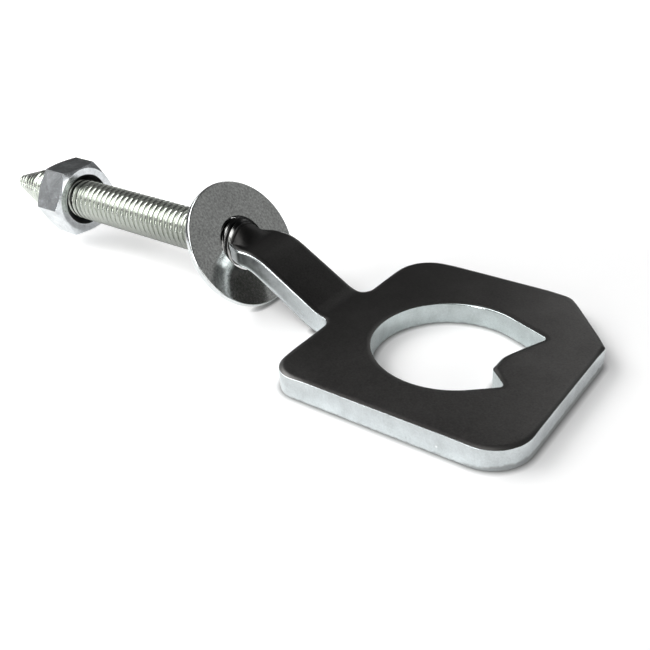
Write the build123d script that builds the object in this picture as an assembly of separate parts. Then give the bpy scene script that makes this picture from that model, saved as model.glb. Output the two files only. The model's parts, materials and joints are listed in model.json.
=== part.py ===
from build123d import *

import os
from math import acos, atan2, cos, degrees, hypot, radians, sin, sqrt, tan

# Motorcycle chain adjuster: an axle plate whose joggled neck is drawn out into a stud, with its washer and nut.
# Millimetres, +Z up. The origin is the centre of the axle hole, in the plane of the plate's underside.
# +X runs from the stud to the plate's far end, so the stud points to -X, and +Y is the chamfered side.

# Axle plate, measured from the centre of the axle hole
plate_thickness = 3.0
far_reach = 15.7
neck_side_reach = 15.5
front_reach = 16.0
back_reach = 18.0
front_far_radius = 5.0
front_neck_radius = 3.4
back_neck_radius = 4.7
chamfer_along_x = 8.1
chamfer_along_y = 9.4
chamfer_back_radius = 2.0
chamfer_tip_radius = 0.5
edge_round = 0.25

# Axle hole with its key tooth
hole_radius = 9.65
back_notch_depth = 1.8
back_notch_angle = 36.5
front_notch_depth = 0.8
front_notch_angle = -27.5
notch_radius = 0.5
tooth_height = 3.2
tooth_nose_width = 2.8
tooth_offset = -0.7
tooth_back_radius = 5.0
tooth_front_radius = 0.9
hole_edge_chamfer = 0.15

# Neck, joggled up from the plate to the level of the stud
neck_width = 8.0
neck_root_radius = 1.7
neck_slope = 31.0
neck_bend_start = 17.35
bend_radius = 4.5
land_thickness = 2.6
shoulder_start = 30.4
shoulder_length = 2.2
shoulder_radius = 1.5

# Stud, drawn out of the end of the neck
stud_radius = 3.0
stud_offset = 1.0
stud_height = 7.7
stud_length = 48.0
runout_length = 4.1
point_length = 6.0
point_radius = 1.0

# Washer, which leans on the stud until its rim meets the ground
washer_radius = 8.9
washer_thickness = 0.9
washer_clearance = 0.05
shoulder_clearance = 0.1
washer_edge_chamfer = 0.15

# Hexagon nut
nut_width = 10.2
nut_thickness = 5.2
nut_face_radius = 4.8
nut_chamfer_angle = 30.0
nut_clearance = 0.05
countersink_radius = 3.7
nut_end_gap = 10.4

# Places that follow from the sizes above
neck_half = neck_width / 2
land_half = land_thickness / 2
shoulder_end = shoulder_start + shoulder_length
land_end = shoulder_end + shoulder_length
land_end_half = stud_radius - (neck_half - stud_radius)
stud_end = shoulder_end + stud_length
side_plane = Plane((0, stud_offset, 0), x_dir=(1, 0, 0), z_dir=(0, -1, 0))
axis_plane = Plane((0, stud_offset, stud_height), x_dir=(1, 0, 0), z_dir=(0, -1, 0))
stud_axis = Axis((0, stud_offset, stud_height), (1, 0, 0))


def rounded(face, corners):
    """Round the corners of a flat face, each given as a point and a radius."""
    for point, radius in corners:
        nearest = face.vertices().sort_by_distance(point)[0]
        face = fillet(nearest, radius)
    return face


def turned(*points):
    """Solid of revolution about the stud's axis, from points given as distance along X and radius."""
    return revolve(axis_plane * make_face(Polyline(*points, close=True)), stud_axis)


def blank_outline():
    """Outline of the plate and neck seen from above, with the neck narrowing into the stud."""
    far_front = (far_reach, -front_reach)
    chamfer_tip = (far_reach, back_reach - chamfer_along_y)
    chamfer_back = (far_reach - chamfer_along_x, back_reach)
    back_corner = (-neck_side_reach, back_reach)
    back_root = (-neck_side_reach, stud_offset + neck_half)
    back_shoulder = (-shoulder_start, stud_offset + neck_half)
    front_shoulder = (-shoulder_start, stud_offset - neck_half)
    front_root = (-neck_side_reach, stud_offset - neck_half)
    front_corner = (-neck_side_reach, -front_reach)
    outline = Polyline(
        far_front,
        chamfer_tip,
        chamfer_back,
        back_corner,
        back_root,
        back_shoulder,
        (-land_end, stud_offset + land_end_half),
        (-land_end, stud_offset - land_end_half),
        front_shoulder,
        front_root,
        front_corner,
        close=True,
    )
    corners = [
        (far_front, front_far_radius),
        (chamfer_tip, chamfer_tip_radius),
        (chamfer_back, chamfer_back_radius),
        (back_corner, back_neck_radius),
        (back_root, neck_root_radius),
        (back_shoulder, shoulder_radius),
        (front_shoulder, shoulder_radius),
        (front_root, neck_root_radius),
        (front_corner, front_neck_radius),
    ]
    return rounded(make_face(outline), corners)


def strip_section():
    """Side view of the bent strip: flat plate, slope of the neck, then the land that carries the stud."""
    rise = tan(radians(neck_slope))
    slope_drop = plate_thickness / cos(radians(neck_slope))
    land_top = stud_height + land_half
    land_bottom = stud_height - land_half
    top_bend = (-neck_bend_start, plate_thickness)
    top_level = (-neck_bend_start - (land_top - plate_thickness) / rise, land_top)
    under_start = neck_bend_start + (slope_drop - plate_thickness) / rise
    under_bend = (-under_start, 0)
    under_level = (-under_start - land_bottom / rise, land_bottom)
    section = Polyline(
        (far_reach, 0),
        (far_reach, plate_thickness),
        top_bend,
        top_level,
        (-land_end, land_top),
        (-land_end, land_bottom),
        under_level,
        under_bend,
        close=True,
    )
    corners = [
        (top_bend, bend_radius),
        (under_bend, bend_radius + plate_thickness),
        (top_level, bend_radius + land_thickness),
        (under_level, bend_radius),
    ]
    return rounded(make_face(section), corners)


def bent_strip():
    """Plate and neck: the blank's outline cut from the bent strip, with its sheared edges rounded."""
    outline = extrude(blank_outline(), stud_height + stud_radius)
    section = extrude(side_plane * strip_section(), front_reach + back_reach, both=True)
    strip = outline & section
    side_faces = strip.faces().filter_by(lambda face: abs(face.normal_at().Z) < 0.01)
    sheared_faces = side_faces.sort_by(Axis.X)[1:]
    edges = [edge for face in sheared_faces for edge in face.edges()]
    long_edges = [edge for edge in edges if abs(edge.tangent_at(0.5).Z) < 0.9]
    return strip.fillet(edge_round, long_edges)


def polar(distance, angle):
    """Point at a distance and an angle in degrees from the centre of the axle hole."""
    return (distance * cos(radians(angle)), distance * sin(radians(angle)))


def axle_hole_outline():
    """Round axle hole that opens by straight flanks into two notches, with the key tooth between them."""
    back_distance = hole_radius + back_notch_depth
    front_distance = hole_radius + front_notch_depth
    back_notch = polar(back_distance, back_notch_angle)
    front_notch = polar(front_distance, front_notch_angle)
    back_tangent = back_notch_angle + degrees(acos(hole_radius / back_distance))
    front_tangent = front_notch_angle - degrees(acos(hole_radius / front_distance))
    nose = hole_radius - tooth_height
    nose_back = (nose, tooth_offset + tooth_nose_width / 2)
    nose_front = (nose, tooth_offset - tooth_nose_width / 2)
    round_side = CenterArc((0, 0), hole_radius, back_tangent, 360 + front_tangent - back_tangent)
    tooth_side = Polyline(
        round_side @ 1,
        front_notch,
        nose_front,
        nose_back,
        back_notch,
        round_side @ 0,
    )
    corners = [
        (back_notch, notch_radius),
        (nose_back, tooth_back_radius),
        (nose_front, tooth_front_radius),
        (front_notch, notch_radius),
    ]
    return rounded(make_face(round_side + tooth_side), corners)


def pierced_strip():
    """The bent strip with the axle hole punched through its plate and the hole's edges eased."""
    strip = bent_strip() - extrude(axle_hole_outline(), plate_thickness)
    hole_reach = hole_radius + back_notch_depth
    near_edges = [edge for edge in strip.edges() if hypot(edge.center().X, edge.center().Y) < hole_reach]
    hole_edges = [edge for edge in near_edges if abs(edge.tangent_at(0.5).Z) < 0.9]
    return strip.chamfer(hole_edge_chamfer, None, hole_edges)


def stud():
    """Stud at the thread's outer size, with a cone that runs out inside the neck and a pointed end."""
    return turned(
        (runout_length - shoulder_end, 0),
        (-shoulder_end, stud_radius),
        (point_length - stud_end, stud_radius),
        (-stud_end, point_radius),
        (-stud_end, 0),
    )


def adjuster_body():
    """Plate, neck and stud, which are one forging."""
    return pierced_strip() + stud()


def plain_washer():
    """Washer leaning on the stud against the neck's shoulder, with the bottom of its rim on the ground."""
    half = washer_thickness / 2
    rim_half = half - washer_edge_chamfer
    lean = atan2(rim_half, washer_radius) + acos(min(1, stud_height / hypot(washer_radius, rim_half)))
    hole = (stud_radius + washer_clearance + half * sin(lean)) / cos(lean)
    ring = Cylinder(washer_radius, washer_thickness) - Cylinder(hole, washer_thickness)
    ring = chamfer(ring.edges().filter_by(GeomType.CIRCLE), washer_edge_chamfer)

    # The hole's lower half rides up to the shoulder's under edge and stops there
    face_offset = (half + land_half * sin(lean)) / cos(lean)
    down_hole = sin(lean) * face_offset + cos(lean) * land_half
    grip_half = sqrt(hole**2 - down_hole**2) - shoulder_clearance
    grip = shoulder_end - (grip_half - stud_radius) / (neck_half - stud_radius) * shoulder_length
    centre = (-grip - face_offset, stud_offset, stud_height)
    return Location(centre) * Rotation(0, 90 - degrees(lean), 0) * ring


def hex_nut():
    """Hexagon nut with chamfered corners and a countersunk bore, a clear fit on the stud."""
    back = nut_end_gap - stud_end
    front = back + nut_thickness
    corner = nut_width / sqrt(3) + nut_clearance
    chamfer = (corner - nut_face_radius) * tan(radians(nut_chamfer_angle))
    bore = stud_radius + nut_clearance
    countersink = countersink_radius - bore
    nut_plane = Plane((back, stud_offset, stud_height), x_dir=(0, 1, 0), z_dir=(1, 0, 0))
    hexagon = RegularPolygon(nut_width / 2, 6, major_radius=False)
    prism = extrude(nut_plane * hexagon, nut_thickness)
    envelope = turned(
        (back, 0),
        (back, nut_face_radius),
        (back + chamfer, corner),
        (front - chamfer, corner),
        (front, nut_face_radius),
        (front, 0),
    )
    bored = turned(
        (back, 0),
        (back, countersink_radius),
        (back + countersink, bore),
        (front - countersink, bore),
        (front, countersink_radius),
        (front, 0),
    )
    return (prism & envelope) - bored


pieces = {
    "adjuster_body": adjuster_body(),
    "plain_washer": plain_washer(),
    "hex_nut": hex_nut(),
}

os.makedirs("parts", exist_ok=True)
for name, piece in pieces.items():
    export_step(piece, f"parts/{name}.step")
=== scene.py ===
"""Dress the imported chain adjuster: blackened plate with sheared edges, rolled thread, washer and nut.

Sizes are in millimetres and become metres where a mesh is written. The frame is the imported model's own:
origin in the axle hole at the plate's underside, stud along -X, chamfered side towards +Y.
"""

import json
from math import acos, atan2, ceil, cos, degrees, hypot, pi, radians, sin, sqrt, tan

import bmesh
import bpy
import numpy
from mathutils import Matrix, Quaternion, Vector


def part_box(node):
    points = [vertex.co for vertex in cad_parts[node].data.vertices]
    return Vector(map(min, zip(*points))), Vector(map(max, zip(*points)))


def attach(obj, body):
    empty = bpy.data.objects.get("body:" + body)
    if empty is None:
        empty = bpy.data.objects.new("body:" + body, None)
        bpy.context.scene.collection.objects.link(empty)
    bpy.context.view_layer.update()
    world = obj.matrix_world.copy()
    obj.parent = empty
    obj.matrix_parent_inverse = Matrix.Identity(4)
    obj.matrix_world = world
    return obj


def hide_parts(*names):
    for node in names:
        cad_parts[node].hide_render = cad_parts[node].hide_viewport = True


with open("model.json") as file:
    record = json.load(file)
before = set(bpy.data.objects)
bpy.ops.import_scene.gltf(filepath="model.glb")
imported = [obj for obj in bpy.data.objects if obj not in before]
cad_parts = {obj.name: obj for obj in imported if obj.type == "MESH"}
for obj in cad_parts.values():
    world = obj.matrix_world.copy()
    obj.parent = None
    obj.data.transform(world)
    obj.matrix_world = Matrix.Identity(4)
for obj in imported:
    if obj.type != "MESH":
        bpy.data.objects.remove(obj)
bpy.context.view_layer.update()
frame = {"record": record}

mm = 0.001
mounts = {mount["name"]: mount for mount in frame["record"]["mounts"]}
body_low, body_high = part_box("adjuster_body")
washer_low, washer_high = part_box("plain_washer")
nut_low, nut_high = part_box("hex_nut")

# Plate and axle hole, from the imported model
far_reach = body_high[0] / mm
back_reach = body_high[1] / mm
front_reach = -body_low[1] / mm
plate_thickness = mounts["axle_hole"]["dims"]["length_mm"]
hole_radius = mounts["axle_hole"]["dims"]["r_mm"]

# Plate outline
neck_side_reach = 15.5
front_far_radius = 5.0
front_neck_radius = 3.4
back_neck_radius = 4.7
chamfer_along_x = 8.1
chamfer_along_y = 9.4
chamfer_back_radius = 2.0
chamfer_tip_radius = 0.8

# Key tooth of the axle hole
back_notch_depth = 1.8
back_notch_angle = 36.5
front_notch_depth = 0.8
front_notch_angle = -27.5
notch_radius = 0.5
tooth_height = 3.2
tooth_nose_width = 2.8
tooth_offset = -0.7
tooth_back_radius = 5.0
tooth_front_radius = 0.9

# Neck, with the crown that swells where it is drawn round into the stud
neck_half = 4.0
neck_root_radius = 1.7
neck_slope = 31.0
neck_bend_start = 17.35
bend_radius = 4.5
land_half = 1.3
shoulder_start = 30.4
shoulder_length = 2.2
shoulder_end = shoulder_start + shoulder_length
shoulder_radius = 1.5
land_end_half = 1.8
crown_start = 29.4
crown_radius = 2.9

# Edges that the press tool left on the plate: rolled over above, with a burr below
rolled_width = 0.74
rolled_drop = 0.12
shear_corner = 0.05
shear_turns = (30, 60, 90)
corner_reach = 2.5
corner_deepening = 2.0
burr_width = 0.14
burr_height = 0.3
neck_edge_growth = 3.2
bevel_growth = 4.0
bevel_angle = 97.0
bevel_spread = 33.0

# Side view of the burr, from the wall to the flat underside, in shares of its width and height
burr_form = ((0, 1), (0.15, 0.35), (0.4, 0.1), (1, 0), (2, 0))

# Stud and its thread, an M6 coarse thread, with places measured from the tip of the run-out cone
stud_radius = mounts["stud_end"]["dims"]["r_mm"]
stud_offset = mounts["stud_end"]["pos_m"][1] / mm
stud_height = mounts["stud_end"]["pos_m"][2] / mm
stud_end = -body_low[0] / mm
runout_length = 4.1
runout_tip = shoulder_end - runout_length
stud_span = stud_end - runout_tip
point_length = 6.0
point_radius = 1.0
thread_pitch = 1.0
thread_depth = 0.5
point_thread_depth = 0.46
plain_length = 0.1
thread_start = runout_length + plain_length
thread_fade = 0.8
crest_share = 0.34
root_share = 0.12

# Lip of metal squeezed up behind the start of the thread, placed by its distance from the axle hole
lip_place = 34.1
lip_reach = 1.8
lip_height = 0.45
lip_turn = 71.0

# Washer
washer_radius = 8.9
washer_thickness = 0.9
washer_clearance = 0.05
washer_chamfer = 0.15
rim_round = 0.22
bore_round = 0.02

# Nut
nut_sides = 6
nut_edge = 0.08
nut_flat_step = 0.3
nut_face_radius = 4.9
nut_chamfer_angle = 30.0
nut_clearance = 0.05
countersink_radius = 3.9

# Fineness of the meshes
arc_step = radians(7)
path_step = 1.2
bend_step = 0.4
rolled_steps = 7
crown_lines = (0.0, 0.7, 1.3, 1.8, 2.2, 2.5, 2.7)
hole_points = 84
easing_step = 0.12
mitre_limit = 0.5
nut_side_points = 16
washer_segments = 144
thread_samples = 12
thread_segments = 60
spare_turns = 3
weld_distance = 1e-5
sharp_angle = 38.0
thread_sharp_angle = 60.0

# Colours of the finishes, some of them painted light or shade
black_skin = (0.085, 0.083, 0.081)
# Rolled edges of the black skin: lighter from wear and from painted sheen
worn_and_sheen_black = (0.11, 0.108, 0.105)
rubbed_black = (0.14, 0.137, 0.132)
outer_wall_zinc = (0.62, 0.66, 0.67)
# Painted shade: the wall of the axle hole is darker than the outer wall, for the shade in the recess
hole_wall_shade_zinc = (0.5, 0.55, 0.55)
# Painted shade on the walls along the neck
neck_wall_shade_grey = (0.16, 0.17, 0.17)
# Torn foot of the walls, darkened further by painted shade
torn_shaded_grey = (0.24, 0.25, 0.25)
wall_pit_grey = (0.18, 0.19, 0.19)
# Painted glints: near-white specks on the sheared walls
glint_white = (0.95, 0.96, 0.96)
# Painted light: the roots are lighter than the crests, lightening the shade between the flanks
thread_root_lightened_zinc = (0.78, 0.81, 0.75)
thread_crest_zinc = (0.53, 0.56, 0.51)
# Black skin where the thread leaves the neck, darkened further by painted shade inside the washer's hole
neck_end_shade_black = (0.03, 0.03, 0.03)
# Painted highlights on the front crests where the thread starts
wrinkle_highlight_grey = (0.4, 0.4, 0.39)
washer_face_zinc = (0.73, 0.75, 0.73)
washer_rim_zinc = (0.82, 0.85, 0.85)
washer_rubbed_zinc = (0.72, 0.75, 0.74)
nut_face_zinc = (0.74, 0.77, 0.79)
nut_pit_grey = (0.2, 0.21, 0.22)
# Painted shade in the bores of the washer and the nut
bore_shade_black = (0.045, 0.046, 0.047)

# Directions in which the finishes, their painted light and shade, and the floor change
lengthwise = (1, 0, 0)
crosswise = (0, 1, 0)
# Painted sheen on the black skin grows along this direction
to_sheen_corner = (1, -0.6, 0)
# Painted shade on the thread's underside grows along this direction
to_thread_shade = (0.12, 0, -1)

# Black skin: painted sheen makes it lighter towards the front far corner, and painted shade makes it darker
# at the end of the neck, where it is drawn round into the stud by the washer
sheen_places = (-21.0, 5.0)
sheen_tones = (0.68, 1.27)
# Painted shade at the end of the neck, by the washer
neck_end_shade_places = (-31.0, -28.0)
neck_end_shade_tones = (0.5, 1.0)

# Sheared walls: dull and darkened by painted shade along the neck between two shares of the height, torn at
# the foot near the far end and darkened there by painted shade
neck_shade_and_dull_places = (-16.0, -29.0)
shoulder_places = (-31.2, -30.2)
shoulder_shade_and_dullness = (0.5, 1.0)
shade_and_dull_foot = (0.12, 0.34)
shade_and_dull_top = (0.86, 0.93)
dull_roughness = 0.14
torn_shaded_places = (8.0, far_reach)
torn_shaded_heights = (0.04, 0.26)
torn_shaded_fade = (-0.06, 0.08)
torn_shaded_strength = 0.75
torn_shaded_raggedness = 0.1
streak_size = 0.22
streak_squeeze = (1.0, 1.0, 0.12)
lump_size = 0.7

# Thread: painted light brightens the point, painted shade darkens its underside by the washer, black skin
# where it leaves the neck, darkened there by painted shade, with painted highlights on its front crests
point_light_places = (-66.0, -76.0)
point_light_tones = (1.0, 1.35)
underside_shade_places = (-16.0, -10.5)
underside_shade_tones = (1.0, 0.5)
skin_end = 36.8
skin_fade = 0.6
wrinkle_highlight_places = (0.0, -1.0)

# Washer: contrast of its grain
washer_face_grain = 1.4
washer_rim_grain = 0.3

# Rub marks: turns of their two sets, their stretch, and the noise level above which they show
rub_turns = (0.5, 1.9)
rub_stretch = (0.06, 1.0, 1.0)
rub_level = 0.78
rub_level_swing = 0.2
rub_sharpness = 12.0

# Floor, a little below the object, with a glow that the camera sees; the glow is a painted pool of light,
# stronger beside the stud and behind than beside the plate
floor_reach = 2000.0
floor_drop = 0.02
floor_colour = (0.92, 0.92, 0.92)
floor_glow = 0.06
# Painted light: the floor's glow beside the stud, beside the plate, and behind
stud_side_glow = 0.36
plate_side_glow = 0.04
beside_places = (-50.0, -15.0)
behind_places = (30.0, 80.0)
# Painted contact shadow on the floor: its reach, the openness where it starts, and the brightness left at
# the contact
contact_reach = 0.9
contact_openness = 0.5
contact_brightness = 0.36

# Room: brightness by height above the horizon, and how much of it is left towards the left
room_levels = ((0.0, 0.12), (0.15, 0.14), (0.33, 0.17), (0.5, 0.13), (0.7, 0.1), (1.0, 0.08))
room_left_places = (-0.45, -0.75)
room_left_tones = (1.0, 0.5)
room_shown = (1.0, 1.0, 1.0)

# Lamps: the direction in which each stands, its width and height, and its power in watts
light_aim = Vector((-30.0, 0.0, 0.0))
light_distance = 900.0
lamps = (
    ("window_light", (-0.72, -0.18, 0.68), 820, 500, 6.1),
    ("front_light", (-0.08, -0.53, 0.845), 960, 640, 4.5),
    ("side_light", (0.95, -0.1, 0.3), 420, 330, 0.9),
    ("low_front_light", (-0.06, -0.97, 0.25), 300, 300, 2.4),
    ("back_light", (-0.1, 0.85, 0.5), 320, 320, 0.35),
    ("right_light", (0.69, -0.68, 0.25), 260, 260, 0.25),
    ("washer_light", (0.65, 0.66, 0.37), 500, 500, 0.065),
    ("fill_light", (-0.75, -0.58, 0.3), 400, 300, 0.1),
)

# Camera that took the photograph
camera_aim = Vector((-14.41, -5.83, 4.0))
camera_azimuth = -37.56
camera_elevation = 30.82
camera_roll = -3.31
camera_distance = 108.84
camera_lens = 49.0
camera_sensor = 36.0
camera_clip = 5.0


def limited(value):
    """A number held between 0 and 1."""
    return min(1, max(0, value))


def smooth(share):
    """A share from 0 to 1 that starts and ends softly."""
    return share * share * (3 - 2 * share)


def corner_arc(corner, before, after, radius):
    """Points of the arc that rounds a corner between the corners before and after it."""
    to_before = (before - corner).normalized()
    to_after = (after - corner).normalized()
    half = to_before.angle(to_after) / 2
    centre = corner + (to_before + to_after).normalized() * radius / sin(half)
    start = corner + to_before * radius / tan(half) - centre
    end = corner + to_after * radius / tan(half) - centre
    sweep = atan2(start.x * end.y - start.y * end.x, start.dot(end))
    steps = max(2, ceil(abs(sweep) / arc_step))
    arc = []
    for step in range(steps + 1):
        turn = sweep * step / steps
        offset = Vector((
            start.x * cos(turn) - start.y * sin(turn),
            start.x * sin(turn) + start.y * cos(turn),
        ))
        arc.append(centre + offset)
    return arc


def rounded_path(corners):
    """Points along straight runs joined by arcs, from corners given as x, y and a radius that may be 0."""
    places = [Vector((x, y)) for x, y, _ in corners]
    path = []
    for index, (_, _, radius) in enumerate(corners):
        if radius == 0:
            path.append(places[index])
        else:
            following = places[(index + 1) % len(places)]
            path.extend(corner_arc(places[index], places[index - 1], following, radius))
    return path


def polar(distance, angle):
    """Point at a distance and an angle in degrees from the centre of the axle hole."""
    return (distance * cos(radians(angle)), distance * sin(radians(angle)))


def blank_path():
    """Outer outline of the plate and neck, counter-clockwise seen from above."""
    front = stud_offset - neck_half
    back = stud_offset + neck_half
    taper = (neck_half - stud_radius) / shoulder_length
    land_end = shoulder_start + (neck_half - land_end_half) / taper
    return rounded_path([
        (far_reach, -front_reach, front_far_radius),
        (far_reach, back_reach - chamfer_along_y, chamfer_tip_radius),
        (far_reach - chamfer_along_x, back_reach, chamfer_back_radius),
        (-neck_side_reach, back_reach, back_neck_radius),
        (-neck_side_reach, back, neck_root_radius),
        (-shoulder_start, back, shoulder_radius),
        (-land_end, stud_offset + land_end_half, 0),
        (-land_end, stud_offset - land_end_half, 0),
        (-shoulder_start, front, shoulder_radius),
        (-neck_side_reach, front, neck_root_radius),
        (-neck_side_reach, -front_reach, front_neck_radius),
    ])


def hole_path():
    """Outline of the axle hole with its notches and key tooth, counter-clockwise seen from above."""
    back_distance = hole_radius + back_notch_depth
    front_distance = hole_radius + front_notch_depth
    back_tangent = back_notch_angle + degrees(acos(hole_radius / back_distance))
    front_tangent = 360 + front_notch_angle - degrees(acos(hole_radius / front_distance))
    nose = hole_radius - tooth_height
    turns = numpy.linspace(back_tangent, front_tangent, hole_points)
    corners = [(*polar(hole_radius, turn), 0) for turn in turns]
    corners.append((*polar(front_distance, front_notch_angle), notch_radius))
    corners.append((nose, tooth_offset - tooth_nose_width / 2, tooth_front_radius))
    corners.append((nose, tooth_offset + tooth_nose_width / 2, tooth_back_radius))
    corners.append((*polar(back_distance, back_notch_angle), notch_radius))
    return rounded_path(corners)


def strip_heights():
    """Upper and lower outline of the bent strip in side view, each as rising X with its heights."""
    rise = tan(radians(neck_slope))
    drop = plate_thickness / cos(radians(neck_slope)) - plate_thickness
    land_top = stud_height + land_half
    land_bottom = stud_height - land_half
    under_start = neck_bend_start + drop / rise
    upper = rounded_path([
        (-stud_end, land_top, 0),
        (-neck_bend_start - (land_top - plate_thickness) / rise, land_top, bend_radius + 2 * land_half),
        (-neck_bend_start, plate_thickness, bend_radius),
        (far_reach, plate_thickness, 0),
    ])
    lower = rounded_path([
        (-stud_end, land_bottom, 0),
        (-under_start - land_bottom / rise, land_bottom, bend_radius),
        (-under_start, 0, bend_radius + plate_thickness),
        (far_reach, 0, 0),
    ])
    return upper, lower


def stepped(path):
    """The closed path with points added along its long straight runs."""
    steps = []
    for index, point in enumerate(path):
        run = path[(index + 1) % len(path)] - point
        count = ceil(run.length / path_step)
        steps.extend(point + run * part / count for part in range(count))
    return steps


def shifted(path, insets):
    """The closed path with each point moved to its left by its own distance, square to the run."""
    moved = []
    for index, (point, inset) in enumerate(zip(path, insets)):
        before = (point - path[index - 1]).normalized()
        after = (path[(index + 1) % len(path)] - point).normalized()
        heading = (before + after).normalized()
        mitre = max(mitre_limit, heading.dot(after))
        moved.append(point + Vector((-heading.y, heading.x)) * inset / mitre)
    return moved


def reached(path, index, step):
    """The point of a closed path that is one corner reach away, going forwards or back."""
    start = index
    while (path[index % len(path)] - path[start]).length < corner_reach:
        index += step
    return path[index % len(path)]


def roll_depths(path, side):
    """Depth of the die roll along an outline, 1 on straight runs and more round outward corners."""
    depths = []
    for index, point in enumerate(path):
        before = (point - reached(path, index, -1)).normalized()
        after = (reached(path, index, 1) - point).normalized()
        turn = before.x * after.y - before.y * after.x
        depths.append(1 + corner_deepening * max(0, side * turn))
    return depths


def neck_share(x):
    """How far along the neck a place lies, 0 at the plate and 1 at the stud."""
    return limited((-x - neck_bend_start) / (shoulder_start - neck_bend_start))


def edge_growth(point, side):
    """How many times larger the pressed edge is: along the neck, and at the back of the axle hole."""
    if side > 0:
        return 1 + neck_edge_growth * neck_share(point.x)
    angle = degrees(atan2(point.y, point.x))
    return 1 + bevel_growth * limited(1 - abs(angle - bevel_angle) / bevel_spread)


def crown_height(x, y):
    """How far the neck swells above and below its flat form where it is drawn round into the stud."""
    share = limited((-x - crown_start) / (shoulder_end - crown_start))
    radius = max(0, crown_radius - max(0, -x - shoulder_end))
    full = sqrt(max(0, radius**2 - (y - stud_offset)**2)) - land_half
    return max(0, full) * smooth(share)


def mesh_object(name, bm, materials, sharp=sharp_angle):
    """Object from a bmesh in millimetres, smooth but for its sharp edges."""
    bmesh.ops.scale(bm, vec=(mm, mm, mm), verts=bm.verts)
    bmesh.ops.recalc_face_normals(bm, faces=bm.faces)
    mesh = bpy.data.meshes.new(name)
    bm.to_mesh(mesh)
    bm.free()
    mesh.shade_smooth()
    mesh.set_sharp_from_angle(angle=radians(sharp))
    for material in materials:
        mesh.materials.append(material)
    piece = bpy.data.objects.new(name, mesh)
    bpy.context.scene.collection.objects.link(piece)
    return piece


def bridge(bm, loops, material_indices):
    """Faces between each closed loop of vertices and the next."""
    for upper, lower, material_index in zip(loops, loops[1:], material_indices):
        count = len(upper)
        for index in range(count):
            following = (index + 1) % count
            corners = (upper[index], lower[index], lower[following], upper[following])
            face = bm.faces.new(corners)
            face.material_index = material_index


def edge_loop(bm, path, side, insets, heights):
    """Closed loop of vertices, set in from an outline towards the metal's side, each at its height."""
    points = shifted(path, [side * inset for inset in insets])
    return [bm.verts.new((*point, height)) for point, height in zip(points, heights)]


def pressed_edge(bm, path, side):
    """Loops of a pressed edge: the roll above, the sheared corner, and the burr below the wall."""
    growths = [edge_growth(point, side) for point in path]
    corners = [shear_corner * growth for growth in growths]
    depths = [rolled_drop * depth for depth in roll_depths(path, side)]
    burrs = growths if side > 0 else [1] * len(path)
    upper_edge = [(part / rolled_steps, 0) for part in range(rolled_steps + 1)]
    upper_edge += [(1, radians(turn)) for turn in shear_turns]
    loops = []
    for roll, turn in upper_edge:
        insets = [rolled_width * (1 - roll) + corner * (roll - sin(turn)) for corner in corners]
        drops = [
            depth * roll**2 + corner * (1 - cos(turn))
            for depth, corner in zip(depths, corners)
        ]
        heights = [plate_thickness - drop for drop in drops]
        loops.append(edge_loop(bm, path, side, insets, heights))
    for across, up in burr_form:
        insets = [burr_width * across * burr for burr in burrs]
        heights = [burr_height * up * burr for burr in burrs]
        loops.append(edge_loop(bm, path, side, insets, heights))
    return loops


def fill_flat(bm, outer, inner):
    """Flat faces between the loop of the outline and the loop of the hole."""
    edges = []
    for loop in (outer, inner):
        for index, vertex in enumerate(loop):
            edges.append(bm.edges.get((vertex, loop[(index + 1) % len(loop)])))
    bmesh.ops.triangle_fill(bm, use_beauty=True, use_dissolve=False, edges=edges)


def cut(bm, faces, place, square):
    """Line cut into some faces by the plane through a place that is square to a direction."""
    edges = dict.fromkeys(edge for face in faces for edge in face.edges)
    vertices = dict.fromkeys(vertex for face in faces for vertex in face.verts)
    geometry = [*vertices, *edges, *faces]
    bmesh.ops.bisect_plane(bm, geom=geometry, plane_co=place, plane_no=square, dist=weld_distance)


def cut_neck(bm):
    """Cross lines where the neck bends, then lines along it where its crown swells."""
    for station in numpy.arange(neck_side_reach, shoulder_end, bend_step):
        cut(bm, bm.faces[:], (-station, 0, 0), lengthwise)
    for line in sorted({side * line for line in crown_lines for side in (-1, 1)}):
        crown = [face for face in bm.faces if max(vertex.co.x for vertex in face.verts) < -crown_start]
        cut(bm, crown, (0, stud_offset + line, 0), crosswise)


def bend_neck(bm):
    """Lift the flat blank to its bent form, and mark each place's share of the height and its edge wear and
    painted sheen.
    """
    shear_height = bm.verts.layers.float.new("shear_height")
    edge_wear = bm.verts.layers.float.new("edge_wear")
    upper, lower = strip_heights()
    upper_x, upper_z = zip(*upper)
    lower_x, lower_z = zip(*lower)
    for vertex in bm.verts:
        top = numpy.interp(vertex.co.x, upper_x, upper_z)
        bottom = numpy.interp(vertex.co.x, lower_x, lower_z)
        share = vertex.co.z / plate_thickness
        crown = crown_height(vertex.co.x, vertex.co.y)
        vertex[shear_height] = share
        vertex[edge_wear] = limited((plate_thickness - vertex.co.z) / rolled_drop)
        vertex.co.z = bottom - crown + (top - bottom + 2 * crown) * share


def build_plate(blackened, sheared, shaded_hole_wall):
    """Plate and neck: pressed edges round the outline and the hole, then bent up to the stud."""
    bm = bmesh.new()
    materials = [blackened, sheared, shaded_hole_wall]
    skin = materials.index(blackened)
    rims = []
    for outline, side, wall in ((blank_path(), 1, sheared), (hole_path(), -1, shaded_hole_wall)):
        loops = pressed_edge(bm, stepped(outline), side)
        wall_strips = len(loops) - 2 - rolled_steps
        bridge(bm, loops, [skin] * rolled_steps + [materials.index(wall)] * wall_strips + [skin])
        rims.append((loops[0], loops[-1]))
    for outer, inner in zip(*rims):
        fill_flat(bm, outer, inner)
    cut_neck(bm)
    bend_neck(bm)
    return mesh_object("plate_and_neck", bm, materials)


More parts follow.
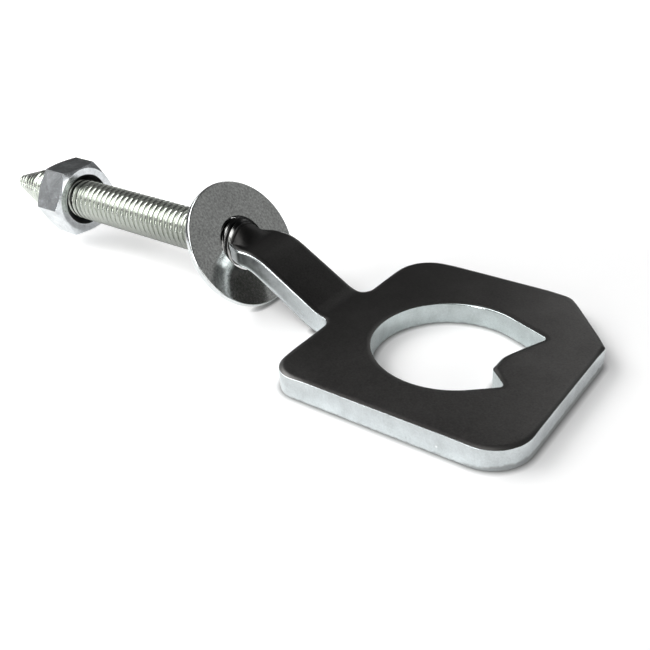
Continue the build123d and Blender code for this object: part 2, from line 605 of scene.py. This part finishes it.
def eased(path):
    """The closed path with a short step at each end of its long runs, which keeps flats flat."""
    eased_path = []
    for index, point in enumerate(path):
        following = path[(index + 1) % len(path)]
        run = following - point
        eased_path.append(point)
        if run.length > 4 * easing_step:
            eased_path.append(point + run.normalized() * easing_step)
            eased_path.append(following - run.normalized() * easing_step)
    return eased_path


def strip_radii(profile):
    """Radius at the middle of each run of a closed profile of radius and offset."""
    return [
        (point.x + profile[(index + 1) % len(profile)].x) / 2
        for index, point in enumerate(profile)
    ]


def ring_mesh(profiles, turns, strip_materials):
    """Closed ring from one profile of radius and offset for each turn about the local X axis."""
    bm = bmesh.new()
    rows = []
    for index in range(len(profiles[0])):
        row = []
        for profile, turn in zip(profiles, turns):
            radius, offset = profile[index]
            row.append(bm.verts.new((offset, radius * cos(turn), radius * sin(turn))))
        rows.append(row)
    bridge(bm, rows + rows[:1], strip_materials)
    return bm


def build_washer(zinc, rim_zinc, bore_shade):
    """Washer with rounded edges, leaning on the stud with its rim on the ground."""
    half = washer_thickness / 2
    rim_half = half - washer_chamfer
    lean = atan2(rim_half, washer_radius) + acos(min(1, stud_height / hypot(washer_radius, rim_half)))
    hole = (stud_radius + washer_clearance + half * sin(lean)) / cos(lean)
    profile = eased(rounded_path([
        (hole, -half, bore_round),
        (washer_radius, -half, rim_round),
        (washer_radius, half, rim_round),
        (hole, half, bore_round),
    ]))
    materials = [zinc, rim_zinc, bore_shade]
    strip_materials = []
    for radius in strip_radii(profile):
        finish = zinc
        if radius > washer_radius - rim_round / 2:
            finish = rim_zinc
        if radius < hole + bore_round:
            finish = bore_shade
        strip_materials.append(materials.index(finish))
    turns = numpy.linspace(0, 2 * pi, washer_segments, endpoint=False)
    bm = ring_mesh([profile] * washer_segments, turns, strip_materials)
    centre = (Vector(washer_low) + Vector(washer_high)) / 2 / mm
    tilt = Matrix.Rotation(-lean, 4, "Y")
    bmesh.ops.transform(bm, matrix=Matrix.Translation(centre) @ tilt, verts=bm.verts)
    return mesh_object("leaning_washer", bm, materials)


def nut_profile(half, wall):
    """Profile of the nut at one turn, from half its thickness and its wall's distance from the axis."""
    bore = stud_radius + nut_clearance
    sink = countersink_radius - bore
    chamfer = (wall - nut_face_radius) * tan(radians(nut_chamfer_angle))
    half_profile = [
        (bore, sink - half, 0),
        (countersink_radius, -half, nut_edge),
        (countersink_radius + nut_flat_step, -half, 0),
        (nut_face_radius - nut_flat_step, -half, 0),
        (nut_face_radius, -half, nut_edge),
        (wall, chamfer - half, nut_edge),
        (wall, chamfer + nut_flat_step - half, 0),
    ]
    mirrored = [(radius, -offset, edge) for radius, offset, edge in reversed(half_profile)]
    return rounded_path(half_profile + mirrored)


def build_nut(zinc, bore_shade):
    """Hexagon nut with chamfered ends and a countersunk bore darkened with painted shade."""
    half_width = (nut_high[2] - nut_low[2]) / mm / 2
    half = (nut_high[0] - nut_low[0]) / mm / 2
    half_side = pi / nut_sides
    profiles = []
    turns = []
    for side in range(nut_sides):
        middle = pi / 2 + 2 * half_side * side
        for turn in numpy.linspace(-half_side, half_side, nut_side_points, endpoint=False):
            profiles.append(nut_profile(half, half_width / cos(turn)))
            turns.append(middle + turn)
    materials = [zinc, bore_shade]
    strip_materials = []
    for radius in strip_radii(profiles[0]):
        finish = bore_shade if radius < countersink_radius else zinc
        strip_materials.append(materials.index(finish))
    bm = ring_mesh(profiles, turns, strip_materials)
    centre = ((nut_low[0] + nut_high[0]) / 2 / mm, stud_offset, stud_height)
    bmesh.ops.translate(bm, vec=centre, verts=bm.verts)
    return mesh_object("hexagon_nut", bm, materials)


def thread_profile(phase):
    """Height of the thread's form at a phase from 0 to 1, 1 on the crest and 0 in the root."""
    away = abs((phase + 0.5) % 1 - 0.5) * 2
    return 1 - smooth(limited((away - crest_share) / (1 - crest_share - root_share)))


def lip_share(distance, turn):
    """How far the metal is squeezed up behind the start of the thread, 0 to 1."""
    away = limited(abs(distance - lip_place) / lip_reach)
    return (1 - away**2)**2 * max(0, cos(turn - radians(lip_turn)))


def stud_form(place):
    """Outer radius of the stud and depth of its thread at a place along it."""
    pointed = max(0, place - stud_span + point_length) / point_length
    outer = stud_radius * limited(place / runout_length) + (point_radius - stud_radius) * pointed
    depth = thread_depth * limited((place - thread_start) / thread_fade)
    return outer, depth + (point_thread_depth - thread_depth) * pointed


def stud_point(row, segment, form):
    """Point of the stud on a row that winds with the thread, from the height of the thread's form."""
    distance = (row / thread_samples + segment / thread_segments - 1) * thread_pitch
    place = min(max(distance, 0), stud_span)
    turn = -2 * pi * segment / thread_segments
    outer, depth = stud_form(place)
    raised = outer - depth * (1 - form) + lip_height * lip_share(runout_tip + place, turn)
    radius = max(0, raised - max(0, distance - stud_span))
    return (-runout_tip - place, stud_offset + radius * cos(turn), stud_height + radius * sin(turn))


def build_stud(rolled, blackened):
    """Stud with a helical thread that runs out at the neck and over the pointed end."""
    bm = bmesh.new()
    materials = [rolled, blackened]
    thread_height = bm.verts.layers.float.new("thread_height")
    row_reach = stud_span + point_radius + spare_turns * thread_pitch
    row_count = int(row_reach / thread_pitch * thread_samples)
    rows = []
    for row in range(row_count):
        form = thread_profile(row / thread_samples)
        ring = [bm.verts.new(stud_point(row, segment, form)) for segment in range(thread_segments)]
        for vertex in ring:
            vertex[thread_height] = form
        rows.append(ring)
    for row in range(row_count - thread_samples - 1):
        for segment in range(thread_segments):
            wraps = segment == thread_segments - 1
            ahead = thread_samples if wraps else 0
            following = 0 if wraps else segment + 1
            face = bm.faces.new((
                rows[row][segment],
                rows[row + 1][segment],
                rows[row + 1 + ahead][following],
                rows[row + ahead][following],
            ))
            unthreaded = rows[row][segment].co.x > -runout_tip - thread_start
            face.material_index = materials.index(blackened if unthreaded else rolled)
    bmesh.ops.remove_doubles(bm, verts=bm.verts, dist=weld_distance)
    bmesh.ops.dissolve_degenerate(bm, edges=bm.edges, dist=weld_distance)
    loose = [vertex for vertex in bm.verts if not vertex.link_faces]
    bmesh.ops.delete(bm, geom=loose, context="VERTS")
    return mesh_object("threaded_stud", bm, materials, sharp=thread_sharp_angle)


def add_node(tree, kind, inputs=None, **options):
    """Add a shader node, set its options, and set or link its inputs by name or number."""
    node = tree.nodes.new("ShaderNode" + kind)
    for option, value in options.items():
        setattr(node, option, value)
    for socket, value in (inputs or {}).items():
        if isinstance(value, bpy.types.NodeSocket):
            tree.links.new(value, node.inputs[socket])
        else:
            node.inputs[socket].default_value = value
    return node


def calculate(tree, operation, first, second):
    """Number worked out from two numbers or sockets."""
    return add_node(tree, "Math", {0: first, 1: second}, operation=operation).outputs[0]


def scaled(tree, vector, factors):
    """Vector with each of its parts multiplied by its own factor."""
    return add_node(tree, "VectorMath", {0: vector, 1: factors}, operation="MULTIPLY").outputs[0]


def millimetre_place(tree):
    """Place on the piece in millimetres."""
    place = add_node(tree, "TexCoord").outputs["Object"]
    return add_node(tree, "VectorMath", {0: place, "Scale": 1 / mm}, operation="SCALE").outputs[0]


def noise(tree, place, size):
    """Soft noise whose lumps are about one size across, in millimetres."""
    scale = calculate(tree, "DIVIDE", 1.0, size)
    return add_node(tree, "TexNoise", {"Vector": place, "Scale": scale}).outputs["Fac"]


def between(tree, value, given, wanted):
    """A value eased from one pair of numbers to another pair."""
    ends = {"From Min": given[0], "From Max": given[1], "To Min": wanted[0], "To Max": wanted[1]}
    eased_range = add_node(tree, "MapRange", {"Value": value, **ends}, interpolation_type="SMOOTHSTEP")
    return eased_range.outputs[0]


def along(tree, direction, places, values):
    """A value eased from one number to another between two places along a direction, in millimetres."""
    dotted = {0: millimetre_place(tree), 1: direction}
    reach = add_node(tree, "VectorMath", dotted, operation="DOT_PRODUCT").outputs["Value"]
    return between(tree, reach, places, values)


def ranged(tree, value, low, high):
    """A value from 0 to 1 stretched between a low and a high number."""
    return add_node(tree, "MapRange", {"Value": value, "To Min": low, "To Max": high}).outputs[0]


def mixed(tree, factor, first, second, blend="MIX"):
    """Mix of two colours, given as three numbers or as a socket."""
    node = add_node(tree, "Mix", data_type="RGBA", blend_type=blend)
    for socket, value in ((node.inputs[0], factor), (node.inputs[6], first), (node.inputs[7], second)):
        if isinstance(value, bpy.types.NodeSocket):
            tree.links.new(value, socket)
        elif isinstance(value, tuple):
            socket.default_value = (*value, 1)
        else:
            socket.default_value = value
    return node.outputs[2]


def toned(tree, colour, tone):
    """A colour made lighter or darker by a tone around 1."""
    grey = add_node(tree, "CombineColor", {0: tone, 1: tone, 2: tone}).outputs[0]
    return mixed(tree, 1.0, colour, grey, "MULTIPLY")


def surface_share(tree, name):
    """A number from 0 to 1 that the mesh carries at each place."""
    return add_node(tree, "Attribute", attribute_name=name).outputs["Fac"]


def new_group(name, inputs, outputs):
    """Empty node group with number sockets, with what it is given and what it puts out."""
    group = bpy.data.node_groups.new(name, "ShaderNodeTree")
    for socket, value in inputs.items():
        made = group.interface.new_socket(socket, in_out="INPUT", socket_type="NodeSocketFloat")
        made.default_value = value
    for socket in outputs:
        group.interface.new_socket(socket, in_out="OUTPUT", socket_type="NodeSocketFloat")
    return group, group.nodes.new("NodeGroupInput").outputs, group.nodes.new("NodeGroupOutput").inputs


def plating_grain_group():
    """Fine grain and cloudy patches of a plated surface, as a tone around 1 and a height."""
    group, given, made = new_group(
        "plating_grain",
        {"Grain Size": 0.2, "Cloud Size": 3.0, "Grain Contrast": 0.2, "Cloud Contrast": 0.2},
        ("Tone", "Height"),
    )
    place = millimetre_place(group)
    grain = noise(group, place, given["Grain Size"])
    cloud = noise(group, place, given["Cloud Size"])
    tone = 1.0
    for part, contrast in ((grain, "Grain Contrast"), (cloud, "Cloud Contrast")):
        swing = calculate(group, "MULTIPLY", calculate(group, "SUBTRACT", part, 0.5), given[contrast])
        tone = calculate(group, "ADD", swing, tone)
    group.links.new(tone, made["Tone"])
    group.links.new(grain, made["Height"])
    return group


def small_pits_group():
    """Scattered small pits, as a mask that is 1 inside a pit."""
    group, given, made = new_group("small_pits", {"Spacing": 1.5, "Share": 0.3, "Size": 0.2}, ("Mask",))
    scale = calculate(group, "DIVIDE", 1.0, given["Spacing"])
    cells = add_node(group, "TexVoronoi", {"Vector": millimetre_place(group), "Scale": scale}).outputs
    chance = add_node(group, "SeparateColor", {0: cells["Color"]}).outputs[0]
    chosen = calculate(group, "LESS_THAN", chance, given["Share"])
    inside = between(group, cells["Distance"], (given["Size"], 0.0), (0.0, 1.0))
    group.links.new(calculate(group, "MULTIPLY", chosen, inside), made["Mask"])
    return group


def rub_marks_group():
    """Short fine scratches from handling, as a mask that is 1 on a scratch."""
    group, given, made = new_group("rub_marks", {"Width": 0.08, "Amount": 0.3}, ("Mask",))
    place = millimetre_place(group)
    swing = calculate(group, "MULTIPLY", given["Amount"], rub_level_swing)
    level = calculate(group, "SUBTRACT", rub_level, swing)
    marks = 0.0
    for turn in rub_turns:
        turned = add_node(group, "VectorRotate", {"Vector": place, "Angle": turn}, rotation_type="Z_AXIS")
        streak = noise(group, scaled(group, turned.outputs[0], rub_stretch), given["Width"])
        line = calculate(group, "MULTIPLY", calculate(group, "SUBTRACT", streak, level), rub_sharpness)
        marks = calculate(group, "MAXIMUM", line, marks)
    group.links.new(calculate(group, "MINIMUM", marks, 1.0), made["Mask"])
    return group


def neck_shade_and_dullness(tree, height_share):
    """How dull a sheared wall is, and how far painted shade darkens it: between its foot and its top, along
    the slope of the neck.
    """
    above_foot = between(tree, height_share, shade_and_dull_foot, (0.0, 1.0))
    below_top = between(tree, height_share, shade_and_dull_top, (1.0, 0.0))
    slope = along(tree, lengthwise, neck_shade_and_dull_places, (0.0, 1.0))
    shoulder = along(tree, lengthwise, shoulder_places, shoulder_shade_and_dullness)
    face = calculate(tree, "MULTIPLY", above_foot, below_top)
    return calculate(tree, "MULTIPLY", face, calculate(tree, "MULTIPLY", slope, shoulder))


def torn_shaded_foot(tree, height_share, lumps):
    """How torn a sheared wall is and how far painted shade darkens its foot, with a ragged line that rises
    towards the far end of the plate.
    """
    line = along(tree, lengthwise, torn_shaded_places, torn_shaded_heights)
    above = calculate(tree, "SUBTRACT", height_share, line)
    ragged = calculate(tree, "ADD", above, ranged(tree, lumps, -torn_shaded_raggedness, torn_shaded_raggedness))
    return between(tree, ragged, torn_shaded_fade, (torn_shaded_strength, 0.0))


def shear_marks_group():
    """What shearing leaves on a wall, with painted shade: dullness and painted shade along the neck, a torn
    foot in painted shade, and streaks and lumps.
    """
    group, given, made = new_group("shear_marks", {"Height Share": 0.5}, ("Dullness", "Tear", "Height"))
    place = millimetre_place(group)
    streaks = noise(group, scaled(group, place, streak_squeeze), streak_size)
    lumps = noise(group, place, lump_size)
    group.links.new(neck_shade_and_dullness(group, given["Height Share"]), made["Dullness"])
    group.links.new(torn_shaded_foot(group, given["Height Share"], lumps), made["Tear"])
    group.links.new(calculate(group, "ADD", streaks, lumps), made["Height"])
    return group


def place_group(tree, group, **values):
    """Node group placed in a material, with its inputs set or linked by name, and its outputs."""
    inputs = {socket.replace("_", " ").title(): value for socket, value in values.items()}
    return add_node(tree, "Group", inputs, node_tree=group).outputs


def new_metal(name):
    """Material with a metallic Principled shader, and its node tree."""
    material = bpy.data.materials.new(name)
    material.use_nodes = True
    tree = material.node_tree
    tree.nodes["Principled BSDF"].inputs["Metallic"].default_value = 1
    return material, tree


def finish_metal(tree, colour, roughness, height, depth):
    """Link a metal's colour and roughness, and a bump from a height with its full depth in millimetres."""
    bump = add_node(tree, "Bump", {"Height": height, "Distance": depth * mm})
    inputs = tree.nodes["Principled BSDF"].inputs
    tree.links.new(colour, inputs["Base Color"])
    tree.links.new(roughness, inputs["Roughness"])
    tree.links.new(bump.outputs[0], inputs["Normal"])


def blackened_face(grain_group, marks_group):
    """Dark satin skin on the flats of the plate and neck: lighter at the edges from wear and painted sheen,
    lighter towards the far end from painted sheen, darker at the end of the neck from painted shade.
    """
    material, tree = new_metal("blackened_face")
    grain = place_group(
        tree, grain_group, grain_size=0.22, cloud_size=5.0, grain_contrast=0.8, cloud_contrast=0.5,
    )
    marks = place_group(tree, marks_group, width=0.1, amount=0.25)
    # Painted sheen: the skin is lighter towards the front far corner
    sheen = along(tree, to_sheen_corner, sheen_places, sheen_tones)
    # Painted shade: the skin is darker at the end of the neck, by the washer
    neck_end_shading = along(tree, lengthwise, neck_end_shade_places, neck_end_shade_tones)
    tone = calculate(tree, "MULTIPLY", grain["Tone"], calculate(tree, "MULTIPLY", sheen, neck_end_shading))
    # Edge wear and painted sheen: lighter on the rolled edges
    edge_lightened = mixed(tree, surface_share(tree, "edge_wear"), toned(tree, black_skin, tone), worn_and_sheen_black)
    colour = mixed(tree, marks["Mask"], edge_lightened, rubbed_black)
    roughness = ranged(tree, grain["Height"], low=0.36, high=0.46)
    finish_metal(tree, colour, roughness, grain["Height"], depth=0.006)
    return material


def sheared_zinc(name, colour, grain_group, pits_group, shear_group):
    """Zinc on a sheared wall: burnished above, torn and darker at the foot with painted shade, pitted, with
    painted glints, dull and darker along the neck with painted shade.
    """
    material, tree = new_metal(name)
    grain = place_group(
        tree, grain_group, grain_size=0.25, cloud_size=2.0, grain_contrast=0.3, cloud_contrast=0.5,
    )
    mottle = place_group(
        tree, grain_group, grain_size=0.4, cloud_size=1.1, grain_contrast=0.8, cloud_contrast=1.6,
    )
    pits = place_group(tree, pits_group, spacing=1.6, share=0.14, size=0.12)
    # Painted glints: small near-white specks scattered over the wall
    painted_glints = place_group(tree, pits_group, spacing=2.3, share=0.16, size=0.09)
    height_share = surface_share(tree, "shear_height")
    shear = place_group(tree, shear_group, height_share=height_share)
    zinc = toned(tree, colour, grain["Tone"])
    # Painted shade: the walls along the neck are darkened to grey
    skin = mixed(tree, shear["Dullness"], zinc, toned(tree, neck_wall_shade_grey, mottle["Tone"]))
    # Torn foot, partly painted shade: darker at the foot of the wall near the far end
    torn_and_shaded = mixed(tree, shear["Tear"], skin, torn_shaded_grey)
    pitted = mixed(tree, pits["Mask"], torn_and_shaded, wall_pit_grey)
    glinted = mixed(tree, painted_glints["Mask"], pitted, glint_white)
    burnished = ranged(tree, height_share, low=0.28, high=0.17)
    dulled = calculate(tree, "MULTIPLY", shear["Dullness"], dull_roughness)
    roughness = calculate(tree, "ADD", burnished, dulled)
    height = calculate(tree, "SUBTRACT", shear["Height"], pits["Mask"])
    finish_metal(tree, glinted, roughness, height, depth=0.016)
    return material


def rolled_thread(grain_group):
    """Zinc on the thread: roots painted lighter than the crests, painted light towards the point, painted
    shade under the stud by the washer, black skin at the neck darkened with painted shade, with painted
    highlights on its front crests.
    """
    material, tree = new_metal("rolled_thread")
    grain = place_group(
        tree, grain_group, grain_size=0.2, cloud_size=2.0, grain_contrast=0.3, cloud_contrast=0.3,
    )
    crest = surface_share(tree, "thread_height")
    # Painted light: the thread is lighter towards its point
    pointed = along(tree, lengthwise, point_light_places, point_light_tones)
    # Painted shade: darker on the stud's underside by the washer
    shaded = along(tree, to_thread_shade, underside_shade_places, underside_shade_tones)
    tone = calculate(tree, "MULTIPLY", shaded, calculate(tree, "MULTIPLY", grain["Tone"], pointed))
    # Painted light in the roots: lighter root colour, plain zinc on the crests
    thread = toned(tree, mixed(tree, crest, thread_root_lightened_zinc, thread_crest_zinc), tone)
    # Painted highlights: lighter crests on the front side only
    front = along(tree, crosswise, wrinkle_highlight_places, (0.0, 1.0))
    wrinkle_highlights = calculate(tree, "MULTIPLY", calculate(tree, "POWER", crest, 2.0), front)
    skin = mixed(tree, wrinkle_highlights, neck_end_shade_black, wrinkle_highlight_grey)
    # Black skin with painted shade near the neck, zinc beyond it
    bare = along(tree, lengthwise, (-skin_end, -skin_end - skin_fade), (0.0, 1.0))
    roughness = ranged(tree, crest, low=0.34, high=0.2)
    finish_metal(tree, mixed(tree, bare, skin, thread), roughness, grain["Height"], depth=0.006)
    return material


def washer_zinc(name, colour, grain_contrast, grain_group, marks_group):
    """Zinc on the washer, fine grained and nearly a mirror."""
    material, tree = new_metal(name)
    grain = place_group(
        tree, grain_group,
        grain_size=0.3, cloud_size=4.0, grain_contrast=grain_contrast, cloud_contrast=0.3,
    )
    marks = place_group(tree, marks_group, width=0.09, amount=0.25)
    marked = mixed(tree, marks["Mask"], toned(tree, colour, grain["Tone"]), washer_rubbed_zinc)
    roughness = ranged(tree, grain["Height"], low=0.12, high=0.2)
    finish_metal(tree, marked, roughness, grain["Height"], depth=0.004)
    return material


def nut_zinc(grain_group, pits_group):
    """Blue-grey zinc on the nut, cloudy from the plating bath, with a few pits."""
    material, tree = new_metal("nut_zinc")
    grain = place_group(
        tree, grain_group, grain_size=0.35, cloud_size=1.8, grain_contrast=0.5, cloud_contrast=0.7,
    )
    pits = place_group(tree, pits_group, spacing=1.4, share=0.12, size=0.12)
    pitted = mixed(tree, pits["Mask"], toned(tree, nut_face_zinc, grain["Tone"]), nut_pit_grey)
    roughness = ranged(tree, grain["Height"], low=0.14, high=0.24)
    finish_metal(tree, pitted, roughness, grain["Height"], depth=0.004)
    return material


def bare_bore(grain_group):
    """Near-black steel in the bores of the washer and the nut, painted shade in these recesses."""
    material, tree = new_metal("bare_bore")
    grain = place_group(
        tree, grain_group, grain_size=0.2, cloud_size=1.5, grain_contrast=0.6, cloud_contrast=0.6,
    )
    # Painted shade: the bore is near black
    colour = toned(tree, bore_shade_black, grain["Tone"])
    roughness = ranged(tree, grain["Height"], low=0.4, high=0.55)
    finish_metal(tree, colour, roughness, grain["Height"], depth=0.01)
    return material


def contact_tone(tree, seen):
    """Painted contact shadow: tone of the floor that the camera sees, 1 in the open and less where the
    object touches it.
    """
    openness = add_node(tree, "AmbientOcclusion", {"Distance": contact_reach * mm}).outputs["AO"]
    ends = {"From Min": contact_openness, "To Min": 1 - contact_brightness, "To Max": 0.0}
    shade = add_node(tree, "MapRange", {"Value": openness, **ends}).outputs[0]
    return calculate(tree, "SUBTRACT", 1.0, calculate(tree, "MULTIPLY", shade, seen))


def white_floor():
    """Floor that shows white to the camera and in the metal, and keeps the object's shadow, with a painted
    contact shadow where the object touches it and a glow that is a painted pool of light beside the stud.
    """
    material = bpy.data.materials.new("white_floor")
    material.use_nodes = True
    tree = material.node_tree
    tree.nodes.clear()
    rays = add_node(tree, "LightPath").outputs
    seen = rays["Is Camera Ray"]
    reflected = calculate(tree, "MAXIMUM", rays["Is Glossy Ray"], rays["Is Transmission Ray"])
    shown = calculate(tree, "MAXIMUM", seen, reflected)
    # Painted contact shadow for the camera
    tone = contact_tone(tree, seen)
    # Painted light: the glow is stronger beside the stud and behind the object than beside the plate
    beside = along(tree, lengthwise, beside_places, (stud_side_glow, plate_side_glow))
    behind = along(tree, crosswise, behind_places, (0.0, stud_side_glow))
    seen_glow = calculate(tree, "MULTIPLY", seen, calculate(tree, "MAXIMUM", beside, behind))
    glow = calculate(tree, "MULTIPLY", calculate(tree, "ADD", seen_glow, floor_glow), tone)
    lit = add_node(tree, "BsdfDiffuse", {"Color": toned(tree, floor_colour, tone)}).outputs[0]
    glowing = add_node(tree, "Emission", {"Strength": glow}).outputs[0]
    pale = add_node(tree, "AddShader", {0: lit, 1: glowing}).outputs[0]
    plain = add_node(tree, "BsdfDiffuse").outputs[0]
    surface = add_node(tree, "MixShader", {0: shown, 1: plain, 2: pale}).outputs[0]
    add_node(tree, "OutputMaterial", {"Surface": surface})
    return material


def build_floor():
    """Plain pale floor under the object."""
    bm = bmesh.new()
    bmesh.ops.create_grid(bm, x_segments=1, y_segments=1, size=floor_reach * mm)
    mesh = bpy.data.meshes.new("studio_floor")
    bm.to_mesh(mesh)
    bm.free()
    mesh.materials.append(white_floor())
    floor = bpy.data.objects.new("studio_floor", mesh)
    floor.location.z = -floor_drop * mm
    bpy.context.scene.collection.objects.link(floor)


def build_world():
    """Room that is brightest a little above the horizon, dim on the left, and shows white to the camera."""
    world = bpy.data.worlds.new("studio_room")
    bpy.context.scene.world = world
    world.use_nodes = True
    tree = world.node_tree
    direction = add_node(tree, "TexCoord").outputs["Generated"]
    parts = add_node(tree, "SeparateXYZ", {0: direction}).outputs
    ramp = add_node(tree, "ValToRGB", {"Fac": parts["Z"]})
    stops = ramp.color_ramp.elements
    while len(stops) < len(room_levels):
        stops.new(1.0)
    for stop, (height, level) in zip(stops, room_levels):
        stop.position = height
        stop.color = (level, level, level, 1)
    left = between(tree, parts["X"], room_left_places, room_left_tones)
    dimmed = toned(tree, ramp.outputs["Color"], left)
    seen = add_node(tree, "LightPath").outputs["Is Camera Ray"]
    tree.links.new(mixed(tree, seen, dimmed, room_shown), tree.nodes["Background"].inputs["Color"])


def soft_light(name, direction, width, height, power):
    """Soft light with a width and a height, at a set distance in one direction, facing the object."""
    light = bpy.data.lights.new(name, "AREA")
    light.shape = "RECTANGLE"
    light.size = width * mm
    light.size_y = height * mm
    light.energy = power
    lamp = bpy.data.objects.new(name, light)
    away = Vector(direction).normalized()
    lamp.location = (light_aim + away * light_distance) * mm
    lamp.rotation_mode = "QUATERNION"
    lamp.rotation_quaternion = (-away).to_track_quat("-Z", "Y")
    bpy.context.scene.collection.objects.link(lamp)


def build_camera():
    """Camera at the photograph's place."""
    camera = bpy.data.cameras.new("photo_camera")
    camera.sensor_width = camera_sensor
    camera.lens = camera_lens
    camera.clip_start = camera_clip * mm
    azimuth = radians(camera_azimuth)
    elevation = radians(camera_elevation)
    forward = Vector((
        sin(azimuth) * cos(elevation),
        cos(azimuth) * cos(elevation),
        -sin(elevation),
    ))
    stand = bpy.data.objects.new("photo_camera", camera)
    stand.location = (camera_aim - forward * camera_distance) * mm
    stand.rotation_mode = "QUATERNION"
    level = forward.to_track_quat("-Z", "Y")
    stand.rotation_quaternion = level @ Quaternion((0, 0, 1), radians(camera_roll))
    bpy.context.scene.collection.objects.link(stand)
    bpy.context.scene.camera = stand


grain_group = plating_grain_group()
pits_group = small_pits_group()
marks_group = rub_marks_group()
shear_group = shear_marks_group()
blackened = blackened_face(grain_group, marks_group)
sheared = sheared_zinc("sheared_zinc", outer_wall_zinc, grain_group, pits_group, shear_group)
# Painted shade: a darker copy of the sheared zinc for the wall inside the axle hole
shaded_hole_wall = sheared_zinc("punched_zinc", hole_wall_shade_zinc, grain_group, pits_group, shear_group)
washer_face = washer_zinc("washer_face", washer_face_zinc, washer_face_grain, grain_group, marks_group)
washer_rim = washer_zinc("washer_rim", washer_rim_zinc, washer_rim_grain, grain_group, marks_group)
bore_shade = bare_bore(grain_group)
plate = build_plate(blackened, sheared, shaded_hole_wall)
stud = build_stud(rolled_thread(grain_group), blackened)
washer = build_washer(washer_face, washer_rim, bore_shade)
nut = build_nut(nut_zinc(grain_group, pits_group), bore_shade)

for piece, node, body, slot in (
    (plate, "adjuster_body", "adjuster", "adjuster_steel"),
    (stud, "adjuster_body", "adjuster", "adjuster_steel"),
    (washer, "plain_washer", "washer", "washer_steel"),
    (nut, "hex_nut", "nut", "nut_steel"),
):
    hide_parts(node)
    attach(piece, body)

build_floor()
build_world()
for lamp in lamps:
    soft_light(*lamp)
build_camera()
bpy.context.scene.view_settings.view_transform = "Standard"
